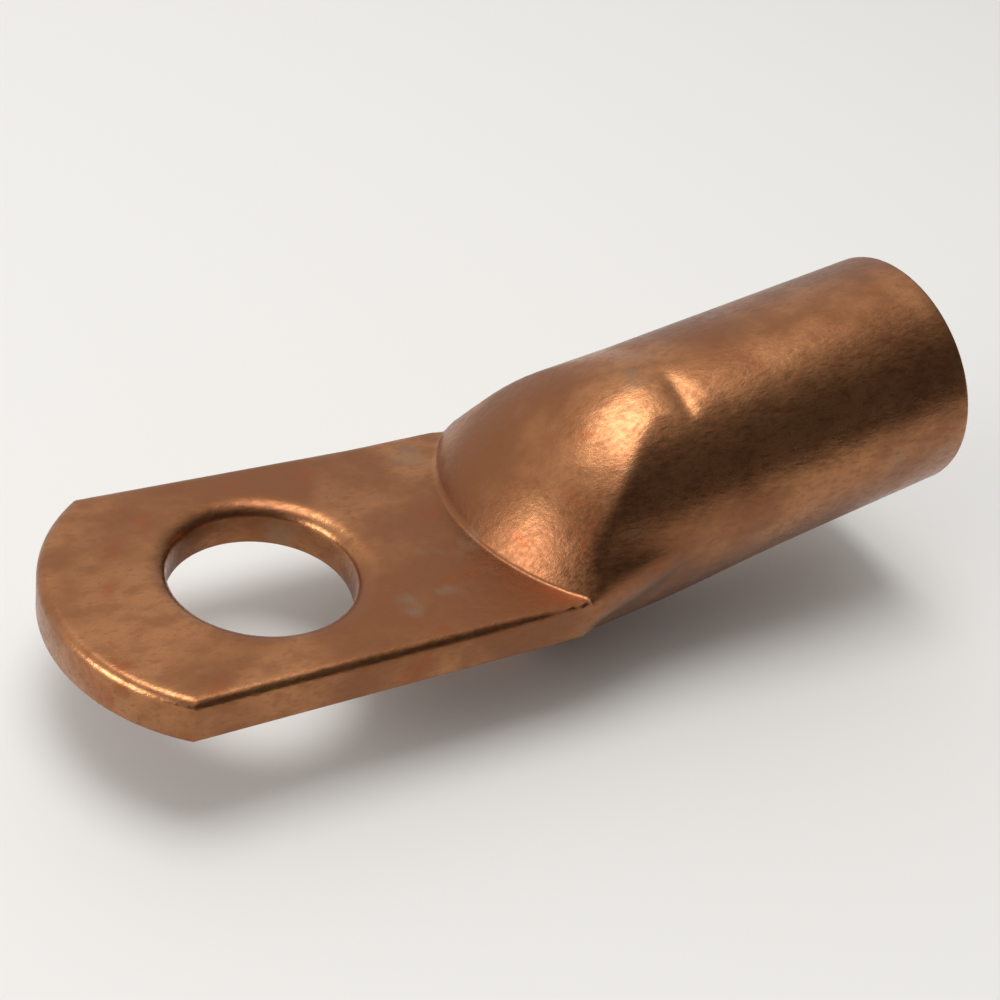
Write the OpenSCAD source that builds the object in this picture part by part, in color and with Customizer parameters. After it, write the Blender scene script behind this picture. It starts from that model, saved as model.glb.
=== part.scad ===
// Copper cable lug: a round tube with one end pressed flat into a palm.
// The palm is sheared along both sides, cut to an arc at its tip and punched for a bolt.
// The other end stays round and open for the cable, and leans up from the palm.
// Millimetres. The origin is the centre of the bolt hole on the palm's underside,
// +X runs towards the barrel and +Z up out of the palm.

/* [Tube] */
// Outside diameter of the tube, which the barrel keeps
tube_od = 12.6; // [11.6:0.1:13.4]
// Wall of the tube; the palm is two walls thick
wall = 1.05; // [0.7:0.05:1.3]
// Length of the barrel along its axis, from the bend to the mouth
barrel_l = 25.8; // [20:0.1:50]
// Growth of the tube's radius where pressing spread it, measured at the bend
swell = 0.2; // [0.05:0.05:0.4]
// Chamfer on both edges of the mouth
mouth_chamfer = 0.2; // [0.1:0.05:0.3]

/* [Palm] */
// Width of the palm between its sheared sides
palm_w = 14.5; // [14:0.1:15.2]
// Distance from the bolt hole's centre to the end of the tip
tip_l = 9.8; // [8:0.1:14]
// Radius of the arc that the tip is cut to
tip_r = 9.1; // [8:0.1:14]
// Rounding along the palm's upper edges
edge_r = 0.3; // [0.1:0.05:0.6]

/* [Bolt hole] */
// Diameter of the bolt hole
hole_d = 8.5; // [5:0.1:9]
// Rounding where the punch drew the hole's upper rim in
lip_r = 0.7; // [0.1:0.05:0.8]

/* [Shoulder] */
// Distance from the bolt hole's centre to the shoulder's toe
toe_x = 10.2; // [8:0.1:20]
// Radius of the shoulder's foot, seen from above
toe_r = 9.6; // [8.5:0.1:11]
// Radius of the shoulder's slope, seen from the side
slope_r = 13; // [8.5:0.1:18]
// Distance from the shoulder's toe to the bend, where the barrel's axis leaves the palm
toe_to_bend = 1; // [0:0.1:3]
// Angle at which the barrel leans up from the palm
lean = 12.3; // [6:0.1:16]
// Distance from the bend at which the widened tube has narrowed to the round barrel
flare_l = 8; // [5:0.1:10]

/* [Hidden] */
$fn = 128;

copper = "#B5764F";
// Length by which a solid or a cut runs past the face that it meets
past = 1;
// Height that the slope's crest keeps above the tube's top line
crest_spare = 0.2;
// Width that the widened tube keeps beyond each sheared side
flare_spare = 0.1;
// How much lower than the round tube its widened sides stay
cheek_drop = 4.3;
// Length of palm that runs in under the shoulder along its sides
tuck = 0.1;
// Length that the swollen tube keeps past the shoulder's crest before it is round
round_spare = 0.15;

palm_t = 2 * wall;
mid_z = palm_t / 2;
tube_r = tube_od / 2;
bore_r = tube_r - wall;
hole_r = hole_d / 2;
bend_x = toe_x + toe_to_bend;

// Foot and slope are turned about the upright axis at dome_x, and the foot
// meets the palm's sides at foot_x
dome_x = toe_x + toe_r;
foot_x = dome_x - sqrt(pow(toe_r, 2) - pow(palm_w / 2, 2));
palm_end = foot_x + tuck;

// The slope is an arc from the foot, on the palm's face, up to a crest that
// just clears the tube; rise is the crest's height over the mid-plane
rise = tube_r / cos(lean) + tan(lean) * (dome_x - bend_x) + crest_spare;
chord = norm([toe_r, rise - mid_z]);
sag = sqrt(pow(slope_r, 2) - pow(chord / 2, 2));
slope_x = toe_r / 2 - sag * (rise - mid_z) / chord;
slope_z = (rise + mid_z) / 2 - sag * toe_r / chord;

// The tube is round from round_from, just past the point where its top line
// leaves the crest, and swells at an even rate from there back past the bend
round_from = (dome_x - bend_x) / cos(lean) + tube_r * tan(lean) + round_spare;
back = toe_to_bend + tube_r;
swollen_r = tube_r + swell * (round_from + back) / round_from;

// Pressing widens the tube: a cheek on each side leaves its skin at flare_l and has
// passed the palm's side by flare_from, so that the shear trims it there
cheek_r = tube_r - cheek_drop;
flare_from = (palm_end - bend_x) / cos(lean);
flare_out = palm_w / 2 + flare_spare - tube_r;
flare_angle = atan2(flare_out, flare_l - flare_from);

// Points round a quarter arc, from its right-hand side to its top
function corner(x, y, r) = [for (a = [0 : 15 : 90]) [x + r * cos(a), y + r * sin(a)]];

// Stands its children on the barrel's axis, with +Z along it and the bend at the origin
module on_barrel() {
    translate([bend_x, 0, mid_z])
        rotate([0, 90 - lean, 0])
            children();
}

// The widened tube with its skin moved in by inset; mouth_points close its profile
module tube_form(inset, mouth_points) {
    skin = [[0, -back], [swollen_r - inset, -back], [tube_r - inset, round_from]];
    on_barrel() {
        rotate_extrude()
            polygon(concat(skin, mouth_points));
        for (side = [-1, 1])
            translate([0, side * cheek_drop, flare_l])
                rotate([side * flare_angle, 0, 0])
                    translate([0, 0, -flare_l - back])
                        cylinder(r = cheek_r - inset, h = flare_l + back + past);
    }
}

// What the two halves of the press leave: a lens about the palm's mid-plane,
// with its skin moved in by inset, and all that lies behind it
module press_form(inset) {
    translate([dome_x, 0, mid_z]) {
        rotate_extrude()
            intersection() {
                translate([0, -rise - past])
                    square([2 * toe_r, 2 * (rise + past)]);
                intersection_for (side = [-1, 1])
                    translate([slope_x, side * slope_z])
                        circle(slope_r - inset);
            }
        translate([0, -palm_w, -2 * barrel_l])
            cube([2 * barrel_l, 2 * palm_w, 4 * barrel_l]);
    }
}

module shoulder_and_barrel() {
    mouth = [
        [tube_r, barrel_l - mouth_chamfer],
        [tube_r - mouth_chamfer, barrel_l],
        [0, barrel_l]
    ];
    intersection() {
        tube_form(0, mouth);
        press_form(0);
        translate([0, -palm_w / 2, -2 * barrel_l])
            cube([3 * barrel_l, palm_w, 4 * barrel_l]);
    }
}

module cavity() {
    mouth = [
        [bore_r, barrel_l - mouth_chamfer],
        [bore_r + mouth_chamfer, barrel_l],
        [bore_r + mouth_chamfer, barrel_l + past],
        [0, barrel_l + past]
    ];
    intersection() {
        tube_form(wall, mouth);
        press_form(wall);
    }
}

// A flat bar with its upper edges rounded, cut to the tip's arc
module palm() {
    half_w = palm_w / 2;
    side = corner(half_w - edge_r, palm_t - edge_r, edge_r);
    far_side = [for (i = [len(side) - 1 : -1 : 0]) [-side[i].x, side[i].y]];
    section = concat([[-half_w, 0], [half_w, 0]], side, far_side);
    tip_edge = corner(tip_r - edge_r, palm_t - edge_r, edge_r);
    tip = concat([[0, 0], [tip_r, 0]], tip_edge, [[0, palm_t]]);
    tip_x = tip_r - tip_l;
    intersection() {
        translate([-tip_l - past, 0, 0])
            rotate([90, 0, 90])
                linear_extrude(tip_l + past + palm_end)
                    polygon(section);
        union() {
            translate([tip_x, 0, 0])
                rotate_extrude()
                    polygon(tip);
            translate([tip_x, -palm_w, -past])
                cube([palm_end - tip_x + past, 2 * palm_w, palm_t + 2 * past]);
        }
    }
}

module bolt_hole() {
    lip = concat(
        [[0, -past], [hole_r, -past]],
        [for (p = corner(0, 0, lip_r)) [hole_r + lip_r - p.x, palm_t - lip_r + p.y]],
        [[hole_r + lip_r, palm_t + past], [0, palm_t + past]]
    );
    rotate_extrude()
        polygon(lip);
}

module cable_lug() {
    color(copper)
        difference() {
            union() {
                palm();
                shoulder_and_barrel();
            }
            cavity();
            bolt_hole();
        }
}

cable_lug();
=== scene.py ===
import math

import bmesh
import bpy
import numpy as np
from bpy.props import FloatProperty, FloatVectorProperty, PointerProperty
from mathutils import Matrix, Vector


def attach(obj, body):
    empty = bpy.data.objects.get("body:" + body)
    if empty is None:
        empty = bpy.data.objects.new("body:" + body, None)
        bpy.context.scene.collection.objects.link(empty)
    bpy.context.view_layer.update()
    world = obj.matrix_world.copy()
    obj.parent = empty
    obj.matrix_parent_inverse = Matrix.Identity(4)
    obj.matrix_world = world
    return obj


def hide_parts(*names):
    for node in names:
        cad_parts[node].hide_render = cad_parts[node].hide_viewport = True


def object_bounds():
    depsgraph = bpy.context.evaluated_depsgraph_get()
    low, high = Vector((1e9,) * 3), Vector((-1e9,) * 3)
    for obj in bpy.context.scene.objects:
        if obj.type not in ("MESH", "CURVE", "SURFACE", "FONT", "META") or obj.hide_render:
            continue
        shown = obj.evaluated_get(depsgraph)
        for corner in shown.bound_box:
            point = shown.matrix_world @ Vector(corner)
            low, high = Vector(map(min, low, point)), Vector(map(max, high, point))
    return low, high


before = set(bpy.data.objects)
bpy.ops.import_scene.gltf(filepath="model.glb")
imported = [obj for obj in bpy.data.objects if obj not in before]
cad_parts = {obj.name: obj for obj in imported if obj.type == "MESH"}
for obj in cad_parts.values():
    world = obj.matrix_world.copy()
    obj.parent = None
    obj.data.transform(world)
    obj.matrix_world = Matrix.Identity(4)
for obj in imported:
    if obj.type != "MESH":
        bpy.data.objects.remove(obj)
CAD_BOX = [list(corner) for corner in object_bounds()]

bl_info = {
    "name": "Cable lug",
    "version": (1, 0, 0),
    "blender": (4, 5, 0),
    "location": "3D View > Sidebar > Cable lug",
    "description": "Builds a copper cable lug by pressing a drawn tube, and its stage",
    "category": "Add Mesh",
}

MM = 0.001


def linear(hexadecimal):
    """The linear colour that an sRGB colour such as "A9754F" stands for."""
    channels = [int(hexadecimal[i : i + 2], 16) / 255 for i in (0, 2, 4)]
    return tuple(c / 12.92 if c <= 0.04045 else ((c + 0.055) / 1.055) ** 2.4 for c in channels)


def length(name, description, millimetres):
    return FloatProperty(
        name=name, description=description, default=millimetres * MM, unit="LENGTH", precision=5
    )


def colour(name, description, hexadecimal):
    return FloatVectorProperty(
        name=name,
        description=description,
        subtype="COLOR",
        size=3,
        min=0,
        max=1,
        default=linear(hexadecimal),
    )


class CableLugTube(bpy.types.PropertyGroup):
    tube_od: length("Outside diameter", "Outside diameter of the drawn tube", 12.6)
    wall: length("Wall", "Wall of the drawn tube; the palm is two walls thick", 1.05)
    barrel_l: length("Barrel length", "Length from the bend to the mouth, along the barrel's axis", 25.8)
    swell: length("Swell", "Growth of the tube's radius at the bend, from pressing", 0.2)
    belly: length("Belly", "Depth to which pressing pushed the tube's underside out past the shoulder", 0.25)
    belly_at: length("Belly's place", "Distance from the bend to the deepest part of the belly", 8.0)
    belly_l: length("Belly's run", "Distance over which the belly fades to each side", 4.5)
    belly_blend: length("Belly's blend", "Radius that blends the belly into the tube", 3.0)
    mouth_edge: length("Mouth edge", "Rounding on both edges of the mouth", 0.25)


class CableLugPalm(bpy.types.PropertyGroup):
    palm_w: length("Width", "Width between the sheared sides", 14.5)
    tip_l: length("Tip length", "Distance from the bolt hole's centre to the end of the tip", 9.8)
    tip_r: length("Tip radius", "Radius of the arc that the tip is cut to", 9.1)
    edge_r: length("Upper edge", "Rounding along the upper edges, where the shear drew them in", 0.5)
    edge_fade_from: length("Upper edge fades", "Distance from the hole where the upper edge sharpens", 8.0)
    edge_fade_l: length("Upper edge's fade", "Length over which the upper edge sharpens", 4.0)
    lower_edge_r: length("Lower edge", "Rounding along the lower edges", 0.1)
    hole_d: length("Bolt hole", "Diameter of the bolt hole", 8.5)
    lip_w: length("Hole rim width", "Width of the rim that the punch drew in", 1.0)
    lip_d: length("Hole rim depth", "Depth to which the punch drew the rim in", 0.7)


class CableLugShoulder(bpy.types.PropertyGroup):
    lean: FloatProperty(
        name="Lean",
        description="Angle of the barrel to the palm",
        default=math.radians(12.3),
        subtype="ANGLE",
    )
    toe_x: length("Toe", "Distance from the bolt hole's centre to the shoulder's toe", 10.2)
    toe_r: length("Toe radius", "Radius of the shoulder's foot, seen from above", 9.6)
    toe_to_bend: length("Toe to bend", "Distance from the toe to the bend in the tube's axis", 1.0)
    slope_r: length("Slope radius", "Radius of the shoulder's slope, seen from the side", 13.0)
    crest_spare: length("Crest", "Height of the slope's crest over the tube's top line", 0.05)
    open_l: length("Opening", "Length over which the press opens out past the crest", 7.0)
    ridge_r: length("Ridge", "Rounding of the ridge between the slope and the tube", 1.4)
    crease_r: length("Crease", "Fillet in the crease between the palm and the slope", 0.25)
    crease_grow: length("Crease growth", "Growth of that fillet along the sides under the tube", 1.0)
    grow_from: length("Growth start", "Distance before the crest where the fillet starts to grow", 6.3)
    grow_l: length("Growth run", "Length over which the fillet grows", 3.0)
    shear_r: length("Sheared corner", "Rounding between the sheared sides and the slope", 0.3)
    cheek_r: length("Cheek radius", "Radius of the tube's widened sides", 2.2)
    cheek_blend: length("Cheek blend", "Radius that blends the cheeks into the tube", 2.5)
    cheek_spare: length("Cheek spare", "How far the cheeks reach past the sheared sides", 0.1)
    flare_from: length("Cheek start", "Distance from the bend where the cheeks leave the sheared sides", 2.4)
    flare_l: length("Cheek end", "Distance from the bend where the cheeks meet the round tube", 8.5)
    fin_from: length("Side start", "Distance from the bolt hole where the palm's sides draw in", 12.6)
    fin_l: length("Side run", "Length over which the palm's sides draw in under the tube", 5.0)
    fin_in: length("Side depth", "Distance by which the palm's sides draw in", 2.0)
    bore_ridge_r: length("Inner ridge", "Rounding of the ridge inside the tube", 0.6)


class CableLugSettings(bpy.types.PropertyGroup):
    tube: PointerProperty(type=CableLugTube)
    palm: PointerProperty(type=CableLugPalm)
    shoulder: PointerProperty(type=CableLugShoulder)
    base: colour("Copper", "Bare tumbled copper", "A9754F")
    tarnish: colour("Tarnish", "Copper browned by handling", "85573A")
    blush: colour("Blush", "Redder copper where the skin is thin", "93502F")
    smoke: colour("Smoke", "Greyed copper", "8A7360")
    floor: colour("Floor", "Pale studio floor", "E4E3E0")


def unit(v):
    """Rows of v, each scaled to a length of one."""
    return v / np.maximum(np.linalg.norm(v, axis=1, keepdims=True), 1e-12)


def ease(t):
    """A smooth rise from 0 to 1 as t goes from 0 to 1."""
    t = np.clip(t, 0, 1)
    return t * t * (3 - 2 * t)


def choose(where, first, second):
    """The gaps and normals of first where it is asked for, and of second elsewhere."""
    return np.where(where, first[0], second[0]), np.where(where[:, None], first[1], second[1])


def meet(first, second, radius):
    """The space inside two forms, with the edge between them rounded to radius.

    A form gives each point its gap to the skin, negative inside, and the skin's outward normal.
    """

    def form(p):
        (a, m), (b, n) = first(p), second(p)
        r = radius(p) if callable(radius) else radius
        c = np.clip((m * n).sum(1), -0.999, 0.999)
        u, v = a + r, b + r
        along_m, along_n = (u - v * c) / (1 - c * c), (v - u * c) / (1 - c * c)
        on_edge = (along_m > 0) & (along_n > 0) & (u + v > 0)
        rounded = np.sqrt(np.maximum(u * along_m + v * along_n, 0)) - r
        rounded = rounded, unit(along_m[:, None] * m + along_n[:, None] * n)
        return choose(on_edge, rounded, choose(a > b, (a, m), (b, n)))

    return form


def outside(form):
    """The space outside a form."""

    def inverse(p):
        gap, normal = form(p)
        return -gap, -normal

    return inverse


def join(first, second, radius):
    """The space inside either of two forms, with the crease between them filled to radius."""
    return outside(meet(outside(first), outside(second), radius))


class Press:
    """The forms that the pressed tube is made of, with its skin moved in by inset."""

    def __init__(self, settings, inset=0.0):
        tube, palm, shoulder = settings.tube, settings.palm, settings.shoulder
        self.settings = settings
        self.shoulder = shoulder
        self.palm = palm
        self.inset = inset
        self.tube_r = tube.tube_od / 2
        self.half_w = palm.palm_w / 2
        self.mid = tube.wall
        self.thick = 2 * tube.wall
        self.lean = shoulder.lean
        self.bend = shoulder.toe_x + shoulder.toe_to_bend
        self.dome = shoulder.toe_x + shoulder.toe_r
        self.mouth = self.bend + tube.barrel_l
        self.round_from = (self.dome - self.bend) / math.cos(self.lean) + self.tube_r * math.tan(self.lean)
        rise = (
            self.tube_r / math.cos(self.lean)
            + math.tan(self.lean) * (self.dome - self.bend)
            + shoulder.crest_spare
        )
        run, height = shoulder.toe_r, rise - self.mid
        chord = math.hypot(run, height)
        sag = math.sqrt(shoulder.slope_r**2 - (chord / 2) ** 2)
        self.slope_centre = (run / 2 - sag * height / chord, (rise + self.mid) / 2 - sag * run / chord)

    def on_axis(self, p):
        """Distance along the barrel's axis from the bend, and height over that axis."""
        dx, dz = p[:, 0] - self.bend, p[:, 2] - self.mid
        c, s = math.cos(self.lean), math.sin(self.lean)
        return dx * c + dz * s, dz * c - dx * s

    def round_form(self, p, sideways, radius, lowered=0):
        """A round bar along the barrel's axis, moved sideways on both sides and lowered."""
        up = self.on_axis(p)[1] + lowered
        out = np.abs(p[:, 1]) - sideways
        across = np.hypot(up, out)
        c, s = math.cos(self.lean), math.sin(self.lean)
        normal = unit(np.stack([-s * up, out * np.sign(p[:, 1]), c * up], 1))
        return across - radius, normal

    def tube_form(self, p):
        along = self.on_axis(p)[0]
        spread = self.settings.tube.swell * np.clip((self.round_from - along) / self.round_from, 0, 1.7)
        return self.round_form(p, 0, self.tube_r + spread - self.inset)

    def belly_form(self, p):
        along = self.on_axis(p)[0]
        tube = self.settings.tube
        lowered = tube.belly * np.exp(-(((along - tube.belly_at) / tube.belly_l) ** 2))
        return self.round_form(p, 0, self.tube_r - self.inset, lowered)

    def cheek_form(self, p):
        along = self.on_axis(p)[0]
        s = self.shoulder
        rate = (self.half_w + s.cheek_spare - self.tube_r) / (s.flare_l - s.flare_from)
        sideways = self.tube_r - s.cheek_r + rate * (s.flare_l - along)
        return self.round_form(p, sideways, s.cheek_r - self.inset)

    def press_form(self, p):
        """The hollow between the press's two halves, which opens out past the shoulder's crest."""
        ahead = np.minimum(p[:, 0] - self.dome, 0)
        past = np.maximum(p[:, 0] - self.dome, 0)
        r = np.hypot(ahead, p[:, 1])
        height = p[:, 2] - self.mid
        out = r - self.slope_centre[0]
        rise = np.abs(height) - self.slope_centre[1]
        reach = np.hypot(out, rise)
        lean, open_l = math.tan(self.lean), self.shoulder.open_l
        gap = reach - (self.shoulder.slope_r - self.inset) - past * (lean + past / open_l)
        opening = (lean + 2 * past / open_l) * (past > 0)
        turn = out / np.maximum(r, 1e-9)
        normal = np.stack([ahead * turn - opening * reach, p[:, 1] * turn, rise * np.sign(height)], 1)
        return gap, unit(normal)

    def shear_form(self, p):
        side = np.sign(p[:, 1])
        return np.abs(p[:, 1]) - self.half_w, np.stack([0 * side, side, 0 * side], 1)

    def palm_form(self, p):
        """The flat bar, whose sides draw in under the shoulder."""
        s, palm = self.shoulder, self.palm
        gap, normal = self.shear_form(p)
        sides = gap + s.fin_in * ease((p[:, 0] - s.fin_from) / s.fin_l), normal
        height = p[:, 2] - self.mid
        upward = np.sign(height)
        faces = np.abs(height) - self.mid, np.stack([0 * upward, 0 * upward, upward], 1)
        fade = np.clip((p[:, 0] - palm.edge_fade_from) / palm.edge_fade_l, 0, 1)
        edge_r = np.where(height > 0, palm.edge_r * (1 - 0.6 * fade), palm.lower_edge_r)
        gap, normal = meet(lambda q: sides, lambda q: faces, edge_r)(p)
        end = p[:, 0] - s.fin_from - s.fin_l
        return choose(end > gap, (end, np.tile((1.0, 0, 0), (len(p), 1))), (gap, normal))

    def outer(self):
        """The lug's outer skin."""
        s = self.shoulder
        bellied = join(self.tube_form, self.belly_form, self.settings.tube.belly_blend)
        wide = join(bellied, self.cheek_form, s.cheek_blend)
        pressed = meet(wide, self.press_form, s.ridge_r)
        sheared = meet(pressed, self.shear_form, s.shear_r)

        def fillet(p):
            back = np.clip((p[:, 0] - self.dome + s.grow_from) / s.grow_l, 0, 1)
            return s.crease_r + s.crease_grow * back

        return join(sheared, self.palm_form, fillet)

    def inner(self):
        """The skin of the hollow inside the tube."""
        wide = join(self.tube_form, self.cheek_form, self.shoulder.cheek_blend)
        return meet(wide, self.press_form, self.shoulder.bore_ridge_r)


def section_columns(press, quarter):
    """The place and the root, as (y, z), of each lengthwise line of the blank on the flat bar."""
    palm = press.palm

    def corner(r, count):
        angles = np.linspace(0, math.pi / 2, count)
        return np.stack([press.half_w - r + r * np.cos(angles), press.mid - r + r * np.sin(angles)], 1)

    def quarter_turn(r, count):
        """From the middle of a side, round its edge, to the middle of a face."""
        rounding = corner(r, count)
        side = np.stack([np.full(3, press.half_w), np.linspace(0, press.mid - r, 3)], 1)[:-1]
        flat = np.linspace(press.half_w - r, 0, quarter + 2 - len(rounding) - len(side))[1:]
        face = np.stack([flat, np.full(len(flat), press.mid)], 1)
        return np.concatenate([side, rounding, face])

    upper = quarter_turn(palm.edge_r, 6)
    lower = quarter_turn(palm.lower_edge_r, 4)
    place = np.concatenate(
        [
            upper[:-1],
            (upper * (-1, 1))[::-1][:-1],
            (lower * (-1, -1))[:-1],
            (lower * (1, -1))[::-1][:-1],
        ]
    )
    root_y = np.clip(place[:, 0], -(press.half_w - press.thick / 2), press.half_w - press.thick / 2)
    root = np.stack([root_y, np.zeros(len(place))], 1)
    return place, root


def drawn_tube(bm, stations, columns):
    """A straight blank along X: a ring of columns at each station, closed at both ends."""
    upright = Matrix.Rotation(math.radians(90), 4, "Y")
    ring = bmesh.ops.create_circle(bm, cap_ends=False, segments=columns, radius=1.0, matrix=upright)["verts"]
    bmesh.ops.translate(bm, verts=ring, vec=(stations[0], 0, 0))
    edges = list({e for v in ring for e in v.link_edges})
    first = edges
    for a, b in zip(stations, stations[1:]):
        made = bmesh.ops.extrude_edge_only(bm, edges=edges)["geom"]
        verts = {g for g in made if isinstance(g, bmesh.types.BMVert)}
        edges = [g for g in made if isinstance(g, bmesh.types.BMEdge) and verts.issuperset(g.verts)]
        bmesh.ops.translate(bm, verts=list(verts), vec=(b - a, 0, 0))
    bmesh.ops.holes_fill(bm, edges=first + edges, sides=0)


def press_tube(bm, press, form, quarter, reach=12 * MM):
    """Moves the blank's skin out along a ray from the section's root, to where the form's skin is."""
    place, root = section_columns(press, quarter)
    columns = 4 * quarter
    bm.verts.ensure_lookup_table()
    co = np.array([v.co[:] for v in bm.verts])
    station = co[:, 0]
    turn = np.arctan2(co[:, 2], co[:, 1])
    column = np.rint(turn / (2 * math.pi) * columns).astype(int) % columns
    y, z = place[column].T
    # Rings bend to the toe's arc, so that one of them lies along the crease
    s = press.shoulder
    sagitta = press.dome - np.sqrt(s.toe_r**2 - np.minimum(np.abs(y), press.half_w) ** 2) - s.toe_x
    past_toe = station - s.toe_x
    near = np.where(past_toe < 0, ease(past_toe / (9 * MM) + 1), ease(1 - past_toe / (13 * MM)))
    along = station + sagitta * near
    # The section turns from the flat bar to the round tube
    blend = ease((along - press.bend) / (10 * MM))
    tilt = press.lean * ease((along - press.bend) / (8 * MM) + 0.3)
    past = np.maximum(along - press.bend, 0)
    centre_x = np.minimum(along, press.bend) + past * math.cos(press.lean)
    centre = np.stack([centre_x, 0 * along, press.mid + past * math.sin(press.lean)], 1)
    up = np.stack([-np.sin(tilt), 0 * tilt, np.cos(tilt)], 1)
    side = np.array([0.0, 1.0, 0.0])
    r = press.tube_r
    target_y = (1 - blend) * y + blend * r * np.cos(turn)
    target_z = (1 - blend) * z + blend * r * np.sin(turn)
    target = target_y[:, None] * side + target_z[:, None] * up
    start = ((1 - blend) * root[column, 0])[:, None] * side
    heading = unit(target - start)
    start = centre + start
    low, high = np.zeros(len(co)), np.full(len(co), reach)
    for _ in range(36):
        middle = (low + high) / 2
        inside = form(start + heading * middle[:, None])[0] < 0
        low, high = np.where(inside, middle, low), np.where(inside, high, middle)
    found = start + heading * ((low + high) / 2)[:, None]
    for v, p in zip(bm.verts, found):
        v.co = p


def steps(*runs):
    """Stations along the blank: runs of (end, spacing) after a first value."""
    at = [runs[0]]
    for end, spacing in runs[1:]:
        count = max(1, round((end - at[-1]) / spacing))
        at += list(np.linspace(at[-1], end, count + 1)[1:])
    return [float(x) * MM for x in at]


def new_object(name, bm):
    mesh = bpy.data.meshes.new(name)
    bmesh.ops.recalc_face_normals(bm, faces=bm.faces)
    bm.to_mesh(mesh)
    bm.free()
    made = bpy.data.objects.new(name, mesh)
    bpy.context.scene.collection.objects.link(made)
    return made


def cut(body, cutter, operation):
    """Applies a boolean of body and cutter to body, and removes the cutter."""
    modifier = body.modifiers.new(cutter.name, "BOOLEAN")
    modifier.object = cutter
    modifier.operation = operation
    modifier.solver = "EXACT"
    bpy.context.view_layer.update()
    mesh = bpy.data.meshes.new_from_object(body.evaluated_get(bpy.context.evaluated_depsgraph_get()))
    old = body.data
    body.modifiers.clear()
    body.data = mesh
    mesh.name = body.name
    bpy.data.meshes.remove(old)
    bpy.data.objects.remove(cutter)
    if not mesh.polygons:
        raise RuntimeError(f"cutting {body.name} left nothing")


def spun(name, profile, place, segments=128):
    """A solid turned about the upright line through place, from its profile of (radius, height)."""
    bm = bmesh.new()
    verts = [bm.verts.new((r, 0, z)) for r, z in profile]
    edges = [bm.edges.new(pair) for pair in zip(verts, verts[1:])]
    bmesh.ops.spin(
        bm, geom=verts + edges, cent=(0, 0, 0), axis=(0, 0, 1), angle=math.tau, steps=segments, use_merge=True
    )
    bmesh.ops.remove_doubles(bm, verts=bm.verts, dist=1e-7)
    bmesh.ops.translate(bm, verts=bm.verts, vec=place)
    return new_object(name, bm)


def arc(centre, r, start, end, count):
    """Points on an arc between two angles in degrees."""
    return [
        (centre[0] + r * math.cos(math.radians(a)), centre[1] + r * math.sin(math.radians(a)))
        for a in np.linspace(start, end, count)
    ]


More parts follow.
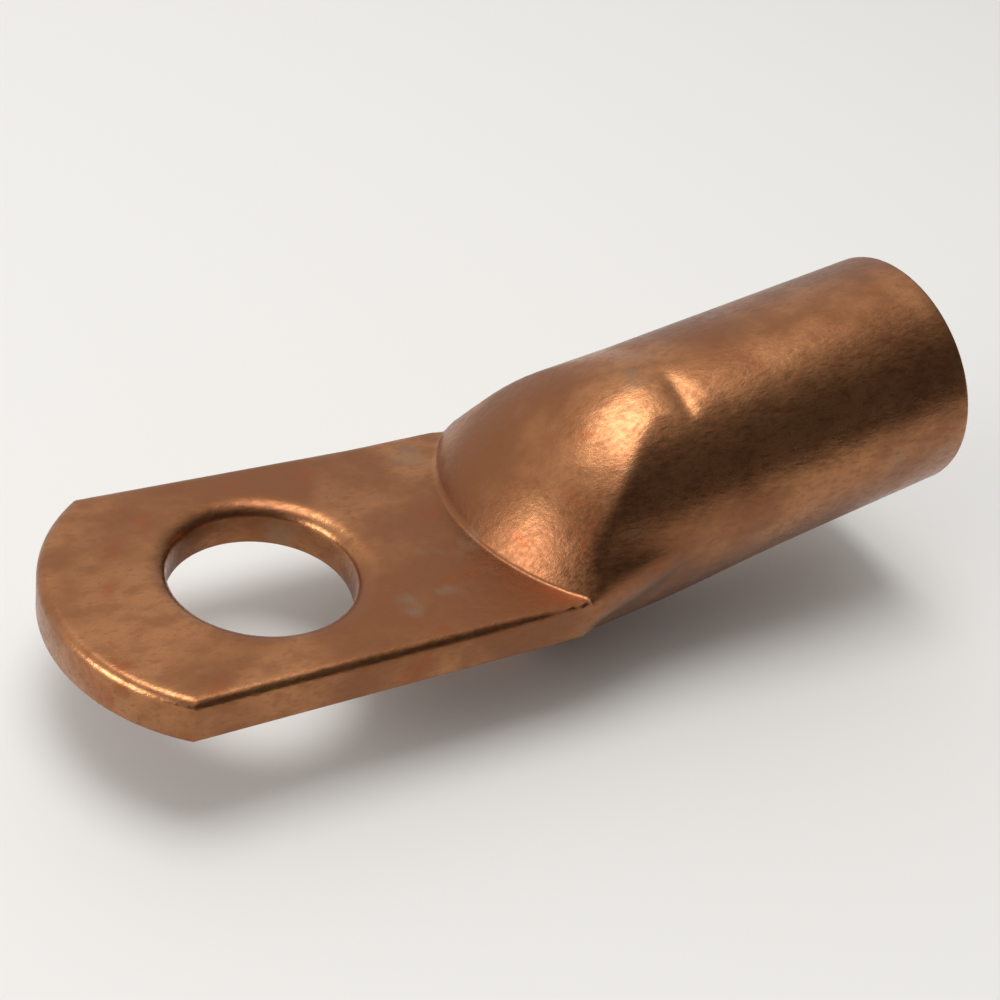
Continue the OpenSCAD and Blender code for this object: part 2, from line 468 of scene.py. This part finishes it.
class CABLELUG_OT_lug(bpy.types.Operator):
    """Press a drawn tube into a cable lug"""

    bl_idname = "cablelug.lug"
    bl_label = "Cable lug"

    def execute(self, context):
        settings = context.scene.cable_lug
        palm, tube, s = settings.palm, settings.tube, settings.shoulder
        press = Press(settings)

        # The blank's stations stand closest at the toe's crease
        quarter = 36
        bm = bmesh.new()
        toe_runs = ((9.0, 0.6), (9.8, 0.2), (10.6, 0.08), (11.4, 0.16))
        stations = steps(-12.0, (6.0, 3.0), *toe_runs, (22.0, 0.25), (press.mouth / MM, 0.8))
        drawn_tube(bm, stations, 4 * quarter)
        press_tube(bm, press, press.outer(), quarter)
        lug = new_object("lug", bm)

        # The hollow is the same tube, a wall smaller
        bore = Press(settings, inset=tube.wall)
        quarter = 20
        bm = bmesh.new()
        drawn_tube(bm, steps(12.4, (22.0, 0.6), (press.mouth / MM + 1.0, 1.5)), 4 * quarter)
        press_tube(bm, bore, bore.inner(), quarter)
        cut(lug, new_object("bore", bm), "DIFFERENCE")

        # The punch draws the hole's upper rim in with it
        thick = press.thick
        hole_r = palm.hole_d / 2
        over = 1 * MM
        lip = [
            (hole_r + palm.lip_w * (1 + math.cos(t)), thick - palm.lip_d * (1 - math.sin(t)))
            for t in np.radians(np.linspace(180, 90, 11))
        ]
        burr = arc((hole_r + palm.lower_edge_r, palm.lower_edge_r), palm.lower_edge_r, 270, 180, 4)
        above = thick + over
        profile = [(0, -over), (burr[0][0], -over), *burr, *lip, (lip[-1][0], above), (0, above)]
        cut(lug, spun("punch", profile, (0, 0, 0)), "DIFFERENCE")

        # The tip is cut to its arc, and the die leaves the rest of the lug alone
        upper = arc((palm.tip_r - palm.edge_r, thick - palm.edge_r), palm.edge_r, 0, 90, 6)
        lower = arc((palm.tip_r - palm.lower_edge_r, palm.lower_edge_r), palm.lower_edge_r, -90, 0, 4)
        die = spun("die", [(0, 0), *lower, *upper, (0, thick)], (palm.tip_r - palm.tip_l, 0, 0), 256)
        bm = bmesh.new()
        bmesh.ops.create_cube(bm, size=1.0)
        bmesh.ops.scale(bm, verts=bm.verts, vec=(60 * MM, 40 * MM, 60 * MM))
        bmesh.ops.translate(bm, verts=bm.verts, vec=(30 * MM + palm.tip_r - palm.tip_l, 0, 0))
        cut(die, new_object("rest", bm), "UNION")
        cut(lug, die, "INTERSECT")

        # The saw's edges at the mouth are broken
        bm = bmesh.new()
        bm.from_mesh(lug.data)
        axis = Vector((math.cos(s.lean), 0, math.sin(s.lean)))
        end = Vector((press.bend, 0, press.mid)) + axis * tube.barrel_l
        rim = [
            e
            for e in bm.edges
            if all(abs((v.co - end).dot(axis)) < 1e-6 for v in e.verts)
            and e.is_manifold
            and e.calc_face_angle() > 1
        ]
        bmesh.ops.bevel(
            bm, geom=rim, offset=tube.mouth_edge, segments=3, profile=0.5, affect="EDGES", material=-1
        )
        bmesh.ops.remove_doubles(bm, verts=bm.verts, dist=1e-6)
        bm.to_mesh(lug.data)
        bm.free()
        lug.data.shade_smooth()
        lug.data.set_sharp_from_angle(angle=math.radians(32))
        weighted = lug.modifiers.new("Weighted normals", "WEIGHTED_NORMAL")
        weighted.keep_sharp = True
        lug.data.materials.clear()
        lug.data.materials.append(copper(settings))
        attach(lug, "root")
        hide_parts("cable_lug")
        return {"FINISHED"}


def add(tree, kind, inputs, **settings):
    """Adds a shader node, with its settings and what goes into its sockets."""
    made = tree.nodes.new("ShaderNode" + kind)
    for name, value in settings.items():
        setattr(made, name, value)
    for socket, value in inputs.items():
        if isinstance(value, bpy.types.NodeSocket):
            tree.links.new(value, made.inputs[socket])
        else:
            made.inputs[socket].default_value = value
    return made


def copper(settings):
    """Bare copper tube, tumbled to a satin skin, then browned by air and handling."""
    material = bpy.data.materials.new("tumbled_copper")
    material.use_nodes = True
    tree = material.node_tree
    shader = tree.nodes["Principled BSDF"]
    place = tree.nodes.new("ShaderNodeTexCoord").outputs["Object"]

    def noise(grain_mm, detail=3, stretch=(1, 1, 1), shift=(0, 0, 0), rough=0.55):
        """Cloudy noise whose grain is about grain_mm across, drawn out along an axis by stretch."""
        scale = [1 / (grain_mm * MM * s) for s in stretch]
        mapped = add(tree, "Mapping", {"Vector": place, "Scale": scale, "Location": shift})
        inputs = {"Vector": mapped.outputs[0], "Scale": 1, "Detail": detail, "Roughness": rough}
        return add(tree, "TexNoise", inputs).outputs["Fac"]

    def ramp(value, low, high, bottom=0.0, top=1.0):
        """A smooth rise from bottom to top as value goes from low to high."""
        made = add(
            tree,
            "MapRange",
            {"Value": value, "From Min": low, "From Max": high, "To Min": bottom, "To Max": top},
            interpolation_type="SMOOTHSTEP",
        )
        return made.outputs["Result"]

    def blend(factor, first, second):
        """A mix of two colours."""
        made = add(tree, "Mix", {"Factor": factor}, data_type="RGBA")
        for socket, value in ((6, first), (7, second)):
            if isinstance(value, bpy.types.NodeSocket):
                tree.links.new(value, made.inputs[socket])
            else:
                made.inputs[socket].default_value = (*value, 1)
        return made.outputs[2]

    def maths(operation, a, b):
        return add(tree, "Math", {0: a, 1: b}, operation=operation).outputs[0]

    # Air and fingers brown bare copper in soft clouds, and tumbling mottles it grain by grain.
    # The real grain is about 0.1 mm, and is drawn at 0.22 mm so that it shows.
    clouds = noise(7.0, 4)
    mottle = noise(0.9, 4, (1.6, 1, 1), (3, 1, 7))
    fine = noise(0.22, 3, (2.2, 1, 1), (5, 2, 1), 0.65)
    red = noise(2.6, 3, shift=(9, 4, 2))
    grey = noise(3.5, 3, shift=(2, 8, 5))

    tone = blend(ramp(clouds, 0.38, 0.62), settings.base, settings.tarnish)
    tone = blend(ramp(mottle, 0.42, 0.7, 0, 0.6), tone, settings.tarnish)
    tone = blend(ramp(fine, 0.5, 0.72, 0, 0.6), tone, settings.tarnish)
    tone = blend(ramp(red, 0.6, 0.72, 0, 0.5), tone, settings.blush)
    tone = blend(ramp(grey, 0.62, 0.75, 0, 0.5), tone, settings.smoke)
    tree.links.new(tone, shader.inputs["Base Color"])

    # Satin: the browner the skin, the duller
    gloss = maths("ADD", ramp(clouds, 0.3, 0.7, 0.27, 0.36), ramp(fine, 0.3, 0.7, -0.04, 0.10))
    tree.links.new(gloss, shader.inputs["Roughness"])
    shader.inputs["Metallic"].default_value = 1.0

    # Drawing and pressing leave shallow waves, and tumbling dents the skin finely
    hammered = noise(2.4, 2, (1.4, 1, 1), (1, 1, 4))
    waves = add(tree, "Bump", {"Height": hammered, "Distance": 0.04 * MM, "Strength": 1.0})
    dented = noise(0.35, 3, (2.0, 1, 1), (4, 4, 4), 0.7)
    grain = add(
        tree,
        "Bump",
        {"Height": dented, "Distance": 0.02 * MM, "Strength": 1.0, "Normal": waves.outputs[0]},
    )
    tree.links.new(grain.outputs[0], shader.inputs["Normal"])
    return material


class CABLELUG_OT_stage(bpy.types.Operator):
    """Set out the floor, the lights and the camera"""

    bl_idname = "cablelug.stage"
    bl_label = "Stage"

    def execute(self, context):
        scene = context.scene
        settings = scene.cable_lug
        scene.view_settings.view_transform = "Standard"
        bm = bmesh.new()
        bmesh.ops.create_grid(bm, x_segments=1, y_segments=1, size=1.0)
        bmesh.ops.translate(bm, verts=bm.verts, vec=(0, 0, CAD_BOX[0][2]))
        floor = new_object("floor", bm)
        material = bpy.data.materials.new("pale_floor")
        material.use_nodes = True
        shader = material.node_tree.nodes["Principled BSDF"]
        shader.inputs["Base Color"].default_value = (*settings.floor, 1)
        shader.inputs["Roughness"].default_value = 0.9
        floor.data.materials.append(material)

        world = bpy.data.worlds.new("studio")
        world.use_nodes = True
        tree = world.node_tree
        heading = tree.nodes.new("ShaderNodeTexCoord").outputs["Generated"]
        bright_side = Vector((-0.30, 0.80, 0.50)).normalized()
        toward = add(tree, "VectorMath", {0: heading, 1: bright_side}, operation="DOT_PRODUCT")
        level = add(
            tree,
            "MapRange",
            {
                "Value": toward.outputs["Value"],
                "From Min": -0.25,
                "From Max": 0.9,
                "To Min": 0.1,
                "To Max": 0.95,
            },
            interpolation_type="SMOOTHSTEP",
        )
        tree.links.new(level.outputs[0], tree.nodes["Background"].inputs["Strength"])
        tree.nodes["Background"].inputs["Color"].default_value = (1.0, 0.98, 0.96, 1)
        scene.world = world

        def softbox(name, heading, distance, size, radiance):
            """A round soft light of a given brightness, aimed at the lug's shoulder."""
            light = bpy.data.lights.new(name, "AREA")
            light.shape = "DISK"
            light.size = size
            light.energy = radiance * math.pi * math.pi * (size / 2) ** 2
            lamp = bpy.data.objects.new(name, light)
            heading = Vector(heading).normalized()
            lamp.location = Vector((0.014, 0, 0.003)) + heading * distance
            lamp.rotation_euler = heading.to_track_quat("Z", "Y").to_euler()
            scene.collection.objects.link(lamp)

        softbox("overhead_softbox", (-0.08, 0.10, 0.99), 0.4, 0.24, 5.5)
        softbox("tip_softbox", (-0.96, -0.08, 0.25), 0.4, 0.22, 7.0)

        camera = bpy.data.cameras.new("camera")
        camera.sensor_width = 36
        camera.lens = 58.96
        camera.clip_start = 0.001
        view = bpy.data.objects.new("camera", camera)
        view.location = (-0.027605, -0.050382, 0.048264)
        view.rotation_euler = [math.radians(a) for a in (54.1703, -10.2412, -31.0395)]
        scene.collection.objects.link(view)
        scene.camera = view
        return {"FINISHED"}


class CABLELUG_PT_panel(bpy.types.Panel):
    """The lug's sizes and colours, and its operators"""

    bl_idname = "CABLELUG_PT_panel"
    bl_label = "Cable lug"
    bl_space_type = "VIEW_3D"
    bl_region_type = "UI"
    bl_category = "Cable lug"

    def draw(self, context):
        settings = context.scene.cable_lug
        for group in (settings.tube, settings.palm, settings.shoulder):
            box = self.layout.box()
            for name in group.__annotations__:
                box.prop(group, name)
        for name in ("base", "tarnish", "blush", "smoke", "floor"):
            self.layout.prop(settings, name)
        self.layout.operator(CABLELUG_OT_lug.bl_idname)
        self.layout.operator(CABLELUG_OT_stage.bl_idname)


CLASSES = (
    CableLugTube,
    CableLugPalm,
    CableLugShoulder,
    CableLugSettings,
    CABLELUG_OT_lug,
    CABLELUG_OT_stage,
    CABLELUG_PT_panel,
)


def register():
    for cls in CLASSES:
        bpy.utils.register_class(cls)
    bpy.types.Scene.cable_lug = PointerProperty(type=CableLugSettings)


def unregister():
    del bpy.types.Scene.cable_lug
    for cls in reversed(CLASSES):
        bpy.utils.unregister_class(cls)


def main():
    register()
    bpy.ops.cablelug.lug()
    bpy.ops.cablelug.stage()


if __name__ == "__main__":
    main()
